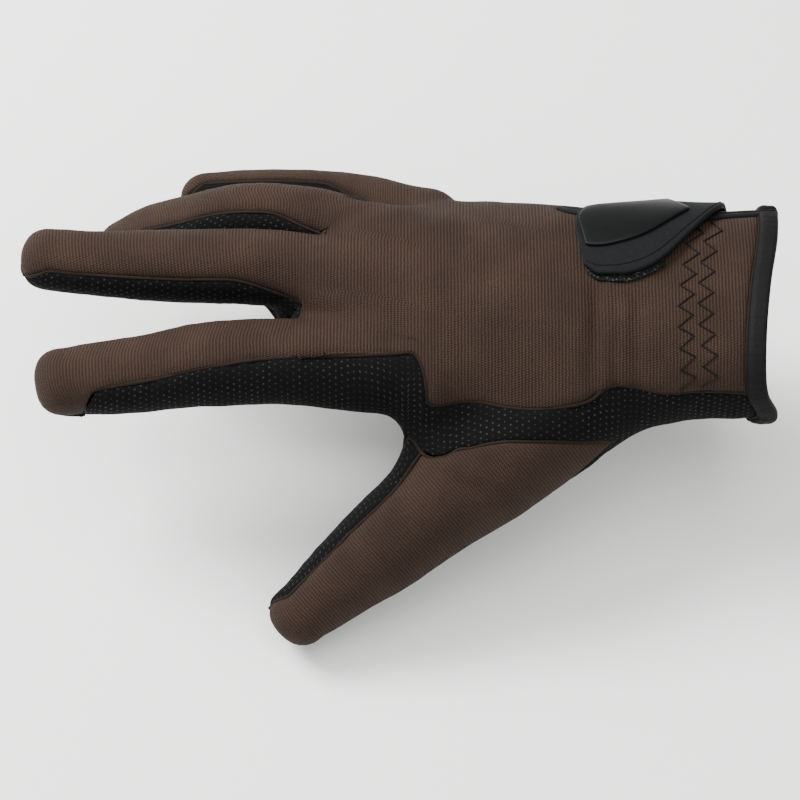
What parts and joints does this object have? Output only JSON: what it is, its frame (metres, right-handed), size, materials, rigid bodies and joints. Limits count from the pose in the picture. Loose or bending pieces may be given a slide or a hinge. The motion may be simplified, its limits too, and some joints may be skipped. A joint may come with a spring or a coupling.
{
  "type": "riding glove",
  "caption": "Right-hand riding glove with an openwork knit back, suede palm and side wrap, set-in thumb, bound cuff and a hook-and-loop tab over a wrist vent.",
  "frame": {"origin": "centre of the cuff opening, where the hand goes in", "axes": "+X out of the cuff and away from the fingertips, +Z out of the back of the hand, -Y to the thumb"},
  "size_m": [0.2235, 0.1444, 0.0789],
  "materials": {
    "knit": "openwork knit",
    "suede": "brushed suede with raised grip dots",
    "binding": "folded stretch tape",
    "tab_fabric": "hook tape faced with suede",
    "badge": "smooth satin rubber",
    "loop_tape": "fuzzy loop pile"
  },
  "bodies": {
    "root": {"back_panel": "knit", "palm_panel": "suede", "fourchette_index_middle": "suede", "fourchette_middle_ring": "suede", "fourchette_ring_little": "suede", "thumb_back": "knit", "thumb_palm": "suede", "cuff_binding": "binding", "vent_binding": "binding", "closure_tab": "tab_fabric", "tab_badge": "badge", "loop_patch": "loop_tape"}
  },
  "joints": []
}
